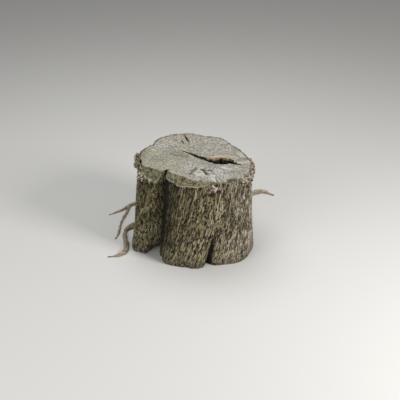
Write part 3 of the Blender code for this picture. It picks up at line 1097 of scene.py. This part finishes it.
# %% The algae film, the soil and the lichen
def algae_group():
    """Patchy film of algae over a colour."""
    group, given, result = new_group(
        "algae_film",
        (("Color", COLOUR), ("Film", COLOUR), ("Amount", VALUE), ("Vector", VECTOR)),
        (("Color", COLOUR),),
    )
    patches = noise_value(group, given.outputs["Vector"], 14.0, 4.0, 0.6)
    spread = maths(group, "ADD", maths(group, "MULTIPLY", patches, 1.6), -0.8)
    amount = ramp(group, maths(group, "ADD", given.outputs["Amount"], spread), 0.0, 1.0)
    mixed = mix_colour(group, amount, given.outputs["Color"], given.outputs["Film"])
    put(result, "Color", mixed)
    return group


def soil_group():
    """Soil splashed up from the ground."""
    group, given, result = new_group(
        "ground_soil",
        (("Color", COLOUR), ("Soil", COLOUR), ("Reach", VALUE), ("Vector", VECTOR)),
        (("Color", COLOUR),),
    )
    parts = add_node(group, "ShaderNodeSeparateXYZ")
    put(parts, 0, given.outputs["Vector"])
    uneven = maths(group, "MULTIPLY", noise_value(group, given.outputs["Vector"], 22.0, 5.0, 0.65), 0.09)
    level = maths(group, "ADD", parts.outputs["Z"], maths(group, "SUBTRACT", uneven, 0.045))
    part = maths(group, "DIVIDE", level, given.outputs["Reach"])
    amount = ramp(group, part, 0.0, 1.0, 0.75, 0.0)
    put(result, "Color", mix_colour(group, amount, given.outputs["Color"], given.outputs["Soil"]))
    return group


def lichen_group():
    """Small pale spots of lichen over a colour."""
    group, given, result = new_group(
        "lichen_spots",
        (("Color", COLOUR), ("Lichen", COLOUR), ("Amount", VALUE), ("Vector", VECTOR)),
        (("Color", COLOUR),),
    )
    blot = noise_value(group, given.outputs["Vector"], 62.0, 5.0, 0.7)
    where = noise_value(group, given.outputs["Vector"], 7.0, 2.0, 0.5)
    both = maths(group, "ADD", blot, maths(group, "MULTIPLY", where, 0.45))
    edge = maths(group, "SUBTRACT", 1.12, maths(group, "MULTIPLY", given.outputs["Amount"], 0.25))
    spots = ramp(group, maths(group, "SUBTRACT", both, edge), -0.03, 0.06)
    put(result, "Color", mix_colour(group, spots, given.outputs["Color"], given.outputs["Lichen"]))
    return group


ALGAE = algae_group()
SOIL = soil_group()
LICHEN = lichen_group()


def use_group(tree, group, **values):
    """Places a group and gives its first output."""
    made = add_node(tree, "ShaderNodeGroup", node_tree=group)
    for name, value in values.items():
        put(made, name, value)
    return made.outputs[0]


print("groups", [group.name for group in (ALGAE, SOIL, LICHEN)])

# %% [markdown]
# ## Bark material
# The plate attribute says where a ridge stands and where a fissure sinks, so it drives the colour:
# near black in the fissures, olive tan on the shaded side and grey beige on the dry side. Fine noise,
# stretched along the fibres, roughens both the colour and the bump.

# %% Helpers for materials
ALGAE_GREEN = (0.160, 0.142, 0.052, 1.0)
SOIL_BROWN = (0.200, 0.158, 0.106, 1.0)
LICHEN_PALE = (0.46, 0.47, 0.40, 1.0)


def start_material(name):
    """A material with its tree, shader and Object coordinates."""
    material = bpy.data.materials.new(name)
    material.use_nodes = True
    tree = material.node_tree
    coords = add_node(tree, "ShaderNodeTexCoord").outputs["Object"]
    return material, tree, tree.nodes["Principled BSDF"], coords


def read_attribute(tree, name):
    """The value of a vertex attribute."""
    return add_node(tree, "ShaderNodeAttribute", attribute_name=name).outputs["Fac"]


def add_bump(tree, shader, height, distance, strength):
    """Bump on the shader's normal."""
    bump = add_node(tree, "ShaderNodeBump")
    put(bump, "Height", height)
    put(bump, "Distance", distance)
    put(bump, "Strength", strength)
    put(shader, "Normal", bump.outputs["Normal"])


print("film", ALGAE_GREEN[:3], "soil", SOIL_BROWN[:3], "lichen", LICHEN_PALE[:3])

# %% Make the bark material
# Dark and light ends of each kind of bark.
OLIVE_BARK = (0.145, 0.124, 0.050, 1.0), (0.580, 0.520, 0.300, 1.0)
GREY_BARK = (0.230, 0.196, 0.135, 1.0), (0.840, 0.770, 0.620, 1.0)
BROWN_BARK = (0.180, 0.136, 0.094, 1.0), (0.620, 0.510, 0.390, 1.0)
# Fissures on the shaded and on the dry side.
FISSURES = (0.024, 0.017, 0.008, 1.0), (0.060, 0.046, 0.028, 1.0)
# Painted highlights: pale specks that stand in for glints on the ridges.
PAINTED_HIGHLIGHT = (0.640, 0.570, 0.400, 1.0)
# Painted shade in the creases, beside the deep crease and under the burls.
CREASE_PAINTED_SHADE = (0.010, 0.008, 0.004, 1.0)
# The broken lip, and its cork where a chamfer cuts it.
LIP = (0.120, 0.090, 0.052, 1.0), (0.300, 0.280, 0.200, 1.0)
LIP_CORK = (0.150, 0.140, 0.085, 1.0), (0.470, 0.465, 0.370, 1.0)
# Fine noise and streaks stretched along the fibres: scale across and along, and strength.
FINE_SCALE = (200.0, 200.0, 40.0)
FINE_STRENGTH = 6.4
STREAK_SCALE = (150.0, 150.0, 14.0)
STREAK_STRENGTH = 4.2
# Painted highlight specks, stretched along the fibres: scale across and along.
HIGHLIGHT_SCALE = (150.0, 150.0, 80.0)


def bark_material():
    """Ridged bark, olive on one side and grey on the other."""
    material, tree, shader, coords = start_material("bark")
    parts = add_node(tree, "ShaderNodeSeparateXYZ")
    put(parts, 0, coords)
    fibres = add_node(tree, "ShaderNodeAttribute", attribute_name="fibre").outputs["Vector"]
    fine = noise_value(tree, stretched(tree, fibres, FINE_SCALE), 1.0, 5.0, 0.72)
    streak = noise_value(tree, stretched(tree, fibres, STREAK_SCALE), 1.0, 4.0, 0.70)
    blotch = noise_value(tree, coords, 22.0, 4.0, 0.6)
    fine_part = maths(tree, "MULTIPLY", maths(tree, "SUBTRACT", fine, 0.5), FINE_STRENGTH)
    streak_part = maths(tree, "MULTIPLY", maths(tree, "SUBTRACT", streak, 0.5), STREAK_STRENGTH)
    worn = ramp(tree, read_attribute(tree, "plate"), 0.0, 0.7, 0.05, 0.85)
    plate = maths(tree, "ADD", worn, maths(tree, "ADD", fine_part, streak_part))
    low_foot = ramp(tree, parts.outputs["Z"], 0.02, 0.22, 0.18, 0.0)
    plate = maths(tree, "ADD", plate, low_foot)
    dry = maths(tree, "ADD", parts.outputs["X"], maths(tree, "MULTIPLY", blotch, 0.16))
    dry = ramp(tree, dry, 0.17, 0.36)
    tone = maths(tree, "ADD", read_attribute(tree, "tone"), maths(tree, "MULTIPLY", streak_part, 0.5))
    tone = maths(tree, "ADD", tone, maths(tree, "MULTIPLY", fine_part, 0.22))
    tone = maths(tree, "ADD", tone, ramp(tree, parts.outputs["Z"], 0.0, 0.26, 0.20, -0.03))
    left_foot = maths(tree, "MULTIPLY", ramp(tree, parts.outputs["X"], -0.20, -0.10, 1.0, 0.0), low_foot)
    tone = maths(tree, "ADD", tone, left_foot)
    light = ramp(tree, tone, 0.20, 1.05)
    olive = mix_colour(tree, light, *OLIVE_BARK)
    grey = mix_colour(tree, light, *GREY_BARK)
    brown = mix_colour(tree, light, *BROWN_BARK)
    ridge = mix_colour(tree, dry, olive, grey)
    browner = maths(tree, "ADD", blotch, ramp(tree, parts.outputs["Z"], 0.0, 0.30, 0.07, -0.02))
    ridge = mix_colour(tree, ramp(tree, browner, 0.50, 0.62, 0.0, 0.80), ridge, brown)
    fissure = mix_colour(tree, dry, *FISSURES)
    wet = ramp(tree, parts.outputs["X"], -0.30, 0.30, 0.48, 0.10)
    ridge = use_group(tree, ALGAE, Color=ridge, Film=ALGAE_GREEN, Amount=wet, Vector=coords)
    ridge = use_group(tree, SOIL, Color=ridge, Soil=SOIL_BROWN, Reach=0.10, Vector=coords)
    colour = mix_colour(tree, ramp(tree, plate, 0.20, 0.85), fissure, ridge)
    # Painted highlights: pale specks along the fibres.
    bright = noise_value(tree, stretched(tree, fibres, HIGHLIGHT_SCALE), 1.0, 3.0, 0.7)
    colour = mix_colour(tree, ramp(tree, bright, 0.58, 0.68, 0.0, 0.7), colour, PAINTED_HIGHLIGHT)
    # Painted shade: the creases, the bark beside the deep crease and the bark under the burls go near
    # black.
    crease_shade_patch = maths(tree, "MULTIPLY", maths(tree, "SUBTRACT", blotch, 0.5), 0.012)
    crease_shade = maths(tree, "ADD", read_attribute(tree, "painted_shade"), crease_shade_patch)
    colour = mix_colour(tree, ramp(tree, crease_shade, 0.001, 0.015, 0.0, 0.95), colour, CREASE_PAINTED_SHADE)
    colour = use_group(tree, LICHEN, Color=colour, Lichen=LICHEN_PALE, Amount=0.45, Vector=coords)
    lip_tone = ramp(tree, noise_value(tree, coords, 60.0, 4.0, 0.7), 0.40, 0.60)
    lip_colour = mix_colour(tree, lip_tone, *LIP)
    cork = mix_colour(tree, lip_tone, *LIP_CORK)
    chamfer = ramp(tree, read_attribute(tree, "chamfer"), 0.004, 0.012)
    lip_colour = mix_colour(tree, chamfer, lip_colour, cork)
    colour = mix_colour(tree, ramp(tree, read_attribute(tree, "lip"), 0.55, 0.95), colour, lip_colour)
    put(shader, "Base Color", colour)
    put(shader, "Roughness", ramp(tree, fine, 0.2, 0.8, 0.95, 0.80))
    shader.inputs["Specular IOR Level"].default_value = 0.25
    add_bump(tree, shader, plate, 0.004, 1.0)
    return material


bark.data.materials.append(bark_material())
print("bark material", len(bark.data.materials[0].node_tree.nodes), "nodes")

# %% [markdown]
# ## Cut wood material
# Rain and sun turn a saw cut grey-green. Fibres and rays run out from the pith, so the streaks are
# noise sampled on the direction from the pith, which leaves no seam. Cracks get painted shade, black
# with depth, with a brown wall on the far side of the main crack; the chamfers keep an olive film, and
# torn fibres by the main crack stay pale.

# %% Make the cut wood material
PITH = (0.010, 0.030, 0.0)
# Dark and light ends of the rays, and the films and blotches over them.
WOOD_RAYS = (0.195, 0.187, 0.165, 1.0), (0.308, 0.300, 0.274, 1.0)
WOOD_TAN = (0.205, 0.180, 0.138, 1.0)
WOOD_BROWN = (0.160, 0.145, 0.110, 1.0)
WOOD_GREY = (0.400, 0.395, 0.370, 1.0)
WOOD_FILM = (0.255, 0.250, 0.175, 1.0)
LIGHT_SPECK = (0.560, 0.525, 0.450, 1.0)
DARK_SPECK = (0.080, 0.070, 0.048, 1.0)
TORN_FIBRE = (0.42, 0.38, 0.27, 1.0)
CHAMFER_OLIVE = (0.128, 0.116, 0.064, 1.0), (0.038, 0.034, 0.015, 1.0)
CHAMFER_SPECK = (0.380, 0.350, 0.245, 1.0)
RIM_BROWN = (0.110, 0.088, 0.048, 1.0)
# Inside a crack: walls of its ledge, painted shade at its edge, and painted shade deep down.
CRACK_WALL = (0.040, 0.024, 0.012, 1.0), (0.230, 0.150, 0.080, 1.0)
CRACK_PAINTED_SHADE = (0.022, 0.016, 0.010, 1.0)
CRACK_DEEP_SHADE = (0.003, 0.002, 0.001, 1.0)
# Marks on the face, in the order in which they lie on it.
MARK_TINTS = (
    ("slate", (0.155, 0.155, 0.145, 1.0)),
    ("cream", (0.480, 0.455, 0.345, 1.0)),
    ("ochre", (0.280, 0.195, 0.090, 1.0)),
    ("lichen", (0.540, 0.560, 0.550, 1.0)),
    ("moss", (0.085, 0.095, 0.022, 1.0)),
    # Dark rot, and painted shade under the moss clump.
    ("rot", (0.030, 0.024, 0.016, 1.0)),
)


def cut_wood_material():
    """Weathered end grain."""
    material, tree, shader, coords = start_material("cut_wood")
    centred = add_node(tree, "ShaderNodeVectorMath", operation="SUBTRACT")
    put(centred, 0, stretched(tree, coords, (1.0, 1.0, 0.0)))
    put(centred, 1, PITH)
    direction = add_node(tree, "ShaderNodeVectorMath", operation="NORMALIZE")
    put(direction, 0, centred.outputs[0])
    reach = add_node(tree, "ShaderNodeVectorMath", operation="LENGTH")
    put(reach, 0, centred.outputs[0])
    ray_place = add_node(tree, "ShaderNodeCombineXYZ")
    around = add_node(tree, "ShaderNodeSeparateXYZ")
    put(around, 0, direction.outputs[0])
    put(ray_place, "X", maths(tree, "MULTIPLY", around.outputs["X"], 22.0))
    put(ray_place, "Y", maths(tree, "MULTIPLY", around.outputs["Y"], 22.0))
    put(ray_place, "Z", maths(tree, "MULTIPLY", reach.outputs["Value"], 9.0))
    rays = noise_value(tree, ray_place.outputs[0], 1.0, 6.0, 0.7)
    blotch = noise_value(tree, coords, 11.0, 5.0, 0.62)
    speck = noise_value(tree, coords, 120.0, 4.0, 0.75)
    patch = noise_value(tree, coords, 52.0, 5.0, 0.70)
    colour = mix_colour(tree, ramp(tree, rays, 0.36, 0.64), *WOOD_RAYS)
    colour = mix_colour(tree, ramp(tree, blotch, 0.48, 0.62, 0.0, 0.50), colour, WOOD_TAN)
    colour = mix_colour(tree, ramp(tree, patch, 0.50, 0.60, 0.0, 0.50), colour, WOOD_BROWN)
    colour = mix_colour(tree, ramp(tree, patch, 0.48, 0.38, 0.0, 0.50), colour, WOOD_GREY)
    side = ramp(tree, around.outputs["X"], -1.0, 0.4, 0.50, 0.10)
    colour = use_group(tree, ALGAE, Color=colour, Film=WOOD_FILM, Amount=side, Vector=coords)
    colour = mix_colour(tree, ramp(tree, speck, 0.52, 0.61, 0.0, 0.75), colour, LIGHT_SPECK)
    colour = mix_colour(tree, ramp(tree, speck, 0.46, 0.38, 0.0, 0.80), colour, DARK_SPECK)
    torn = maths(tree, "MULTIPLY", read_attribute(tree, "torn"), rays)
    colour = mix_colour(tree, ramp(tree, torn, 0.0016, 0.0040, 0.0, 0.45), colour, TORN_FIBRE)
    chamfer = ramp(tree, read_attribute(tree, "chamfer"), 0.001, 0.006)
    olive = mix_colour(tree, ramp(tree, patch, 0.42, 0.58), *CHAMFER_OLIVE)
    olive = mix_colour(tree, ramp(tree, speck, 0.53, 0.64, 0.0, 0.60), olive, CHAMFER_SPECK)
    olive_part = maths(tree, "MAXIMUM", chamfer, read_attribute(tree, "olive"))
    colour = mix_colour(tree, olive_part, colour, olive)
    broken = maths(tree, "MULTIPLY", maths(tree, "SUBTRACT", speck, 0.5), 2.6)
    for kind, tint in MARK_TINTS:
        given = read_attribute(tree, kind)
        ragged = maths(tree, "MULTIPLY", ramp(tree, given, 0.0, 0.15), broken)
        amount = ramp(tree, maths(tree, "ADD", given, ragged), 0.15, 0.75, 0.0, 0.9)
        colour = mix_colour(tree, amount, colour, tint)
    edge = maths(tree, "ADD", read_attribute(tree, "rim"), maths(tree, "MULTIPLY", patch, 0.06))
    colour = mix_colour(tree, ramp(tree, edge, 1.005, 1.035, 0.0, 0.75), colour, RIM_BROWN)
    hollow = read_attribute(tree, "hollow")
    wall = mix_colour(tree, ramp(tree, patch, 0.44, 0.58), *CRACK_WALL)
    # Painted shade in the cracks: near black past their edge, except on the ledge's brown wall.
    crack_shade = mix_colour(tree, read_attribute(tree, "ledge"), CRACK_PAINTED_SHADE, wall)
    colour = mix_colour(tree, ramp(tree, hollow, 0.0008, 0.0035), colour, crack_shade)
    # Painted shade: black deep in the cracks.
    depth = maths(tree, "ADD", hollow, maths(tree, "MULTIPLY", patch, 0.008))
    colour = mix_colour(tree, ramp(tree, depth, 0.012, 0.020), colour, CRACK_DEEP_SHADE)
    put(shader, "Base Color", colour)
    put(shader, "Roughness", ramp(tree, speck, 0.2, 0.8, 0.92, 0.78))
    shader.inputs["Specular IOR Level"].default_value = 0.3
    relief = maths(tree, "ADD", maths(tree, "MULTIPLY", rays, 0.5), maths(tree, "MULTIPLY", speck, 0.5))
    add_bump(tree, shader, relief, 0.004, 0.8)
    return material


cut_wood.data.materials.append(cut_wood_material())
print("cut wood material", len(cut_wood.data.materials[0].node_tree.nodes), "nodes")

# %% [markdown]
# ## Burl and root materials
# Burls are bare, pinkish grey healed wood, with painted shade in the pits between their knobs and on
# their undersides. Roots are paler and cleaner than bark, and take soil where they meet the ground.

# %% Make the burl material
BURL_SKIN = (0.170, 0.130, 0.090, 1.0), (0.700, 0.600, 0.500, 1.0)
BURL_BLOTCH = (0.280, 0.240, 0.170, 1.0)
BURL_LICHEN = (0.66, 0.62, 0.55, 1.0)
# Painted shade in the pits and under the burls.
BURL_PAINTED_SHADE = (0.020, 0.013, 0.007, 1.0)


def burl_material():
    """Bare healed wood, with painted shade in its pits and on its underside."""
    material, tree, shader, coords = start_material("burl")
    knob = noise_value(tree, coords, 105.0, 4.0, 0.70)
    blotch = noise_value(tree, coords, 30.0, 3.0, 0.6)
    colour = mix_colour(tree, ramp(tree, knob, 0.40, 0.60), *BURL_SKIN)
    colour = mix_colour(tree, ramp(tree, blotch, 0.45, 0.65, 0.0, 0.6), colour, BURL_BLOTCH)
    colour = use_group(tree, ALGAE, Color=colour, Film=ALGAE_GREEN, Amount=0.12, Vector=coords)
    colour = use_group(tree, LICHEN, Color=colour, Lichen=BURL_LICHEN, Amount=0.7, Vector=coords)
    # Painted shade: pits and undersides go dark.
    burl_painted_shade = maths(tree, "ADD", read_attribute(tree, "burl_painted_shade"), maths(tree, "SUBTRACT", 0.5, knob))
    colour = mix_colour(tree, ramp(tree, burl_painted_shade, 0.42, 0.88), colour, BURL_PAINTED_SHADE)
    put(shader, "Base Color", colour)
    put(shader, "Roughness", ramp(tree, blotch, 0.2, 0.8, 0.90, 0.75))
    shader.inputs["Specular IOR Level"].default_value = 0.3
    add_bump(tree, shader, knob, 0.005, 0.9)
    return material


burls.data.materials.append(burl_material())
print("burl material", len(burls.data.materials[0].node_tree.nodes), "nodes")

# %% Make the root material
ROOT_SKIN = (0.150, 0.115, 0.076, 1.0), (0.480, 0.415, 0.325, 1.0)
ROOT_BLOTCH = (0.200, 0.155, 0.105, 1.0)
# Near the trunk a root still has bark.
ROOT_BARK = (0.030, 0.022, 0.011, 1.0), (0.240, 0.210, 0.125, 1.0)


def root_material():
    """Pale root skin with soil on it."""
    material, tree, shader, coords = start_material("root")
    skin = noise_value(tree, coords, 110.0, 5.0, 0.65)
    blotch = noise_value(tree, coords, 24.0, 3.0, 0.6)
    colour = mix_colour(tree, ramp(tree, skin, 0.34, 0.68), *ROOT_SKIN)
    colour = mix_colour(tree, ramp(tree, blotch, 0.46, 0.62, 0.0, 0.65), colour, ROOT_BLOTCH)
    colour = use_group(tree, SOIL, Color=colour, Soil=SOIL_BROWN, Reach=0.02, Vector=coords)
    reach = add_node(tree, "ShaderNodeVectorMath", operation="LENGTH")
    put(reach, 0, stretched(tree, coords, (1.0, 1.0, 0.0)))
    uneven = maths(tree, "ADD", reach.outputs["Value"], maths(tree, "MULTIPLY", blotch, 0.10))
    bark_skin = mix_colour(tree, ramp(tree, skin, 0.44, 0.58), *ROOT_BARK)
    colour = mix_colour(tree, ramp(tree, uneven, 0.34, 0.48), bark_skin, colour)
    put(shader, "Base Color", colour)
    put(shader, "Roughness", ramp(tree, skin, 0.2, 0.8, 0.92, 0.80))
    shader.inputs["Specular IOR Level"].default_value = 0.25
    add_bump(tree, shader, skin, 0.003, 0.8)
    return material


root_look = root_material()
for root in roots:
    root.data.materials.append(root_look)
print("root material", len(root_look.node_tree.nodes), "nodes")

# %% Join the pieces to the frame
pieces = [bark, cut_wood, burls, *roots]
for piece in pieces:
    piece.data.shade_smooth()
    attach(piece, BODY)
    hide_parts(NODE)
print("pieces", [piece.name for piece in pieces])

# %% [markdown]
# ## Floor, light and camera
# A pale floor and soft light show the bark without hard shadows. The brightest light stands high on
# the right, so the left side of the trunk falls away gently. A long lens from four metres keeps the
# shape true.

# %% Stage, lights and camera
FLOOR_DROP = 0.0004
CAMERA_LENS = 67.5
CAMERA_DISTANCE = 4.0
CAMERA_RISE = math.radians(29.0)
CAMERA_AIM = Vector((0.043, 0.0, 0.245))
FLOOR_SIZE = 12.0
FLOOR_GREY = (0.56, 0.56, 0.55, 1.0)
SKY_GREY = (0.84, 0.83, 0.81, 1.0)
SKY_STRENGTH = 0.40


def build_floor():
    """A wide pale floor just under the stump."""
    work = bmesh.new()
    bmesh.ops.create_grid(work, x_segments=1, y_segments=1, size=FLOOR_SIZE)
    bmesh.ops.translate(work, verts=work.verts, vec=(0.0, 0.0, -FLOOR_DROP))
    floor = finish_mesh(work, "floor")
    material = bpy.data.materials.new("pale_floor")
    material.use_nodes = True
    shader = material.node_tree.nodes["Principled BSDF"]
    shader.inputs["Base Color"].default_value = FLOOR_GREY
    shader.inputs["Roughness"].default_value = 0.9
    floor.data.materials.append(material)


def area_light(name, place, target, size, energy, colour=(1.0, 1.0, 1.0)):
    """A square soft light aimed at a point."""
    light = bpy.data.lights.new(name, "AREA")
    light.size = size
    light.energy = energy
    light.color = colour
    made = bpy.data.objects.new(name, light)
    made.location = place
    made.rotation_euler = (Vector(target) - Vector(place)).to_track_quat("-Z", "Y").to_euler()
    bpy.context.scene.collection.objects.link(made)


build_floor()
area_light("key", (2.7, -1.9, 2.1), (0.0, 0.0, 0.25), 1.1, 125.0, (1.0, 0.98, 0.95))
area_light("fill", (-2.6, -3.0, 1.5), (0.0, 0.0, 0.2), 3.0, 84.0, (1.0, 0.99, 0.97))
area_light("top", (-0.5, 0.9, 3.4), (0.0, 0.0, 0.3), 2.2, 52.0)
world = bpy.data.worlds.new("soft_sky")
world.use_nodes = True
world.node_tree.nodes["Background"].inputs["Color"].default_value = SKY_GREY
world.node_tree.nodes["Background"].inputs["Strength"].default_value = SKY_STRENGTH
bpy.context.scene.world = world
bpy.context.scene.view_settings.view_transform = "Standard"

camera_data = bpy.data.cameras.new("camera")
camera_data.lens = CAMERA_LENS
camera_data.sensor_width = 36.0
camera = bpy.data.objects.new("camera", camera_data)
away = Vector((0.0, -math.cos(CAMERA_RISE), math.sin(CAMERA_RISE)))
camera.location = CAMERA_AIM + away * CAMERA_DISTANCE
camera.rotation_euler = (math.radians(90.0) - CAMERA_RISE, 0.0, 0.0)
bpy.context.scene.collection.objects.link(camera)
bpy.context.scene.camera = camera
print("camera", [round(c, 2) for c in camera.location], "lens", camera_data.lens)
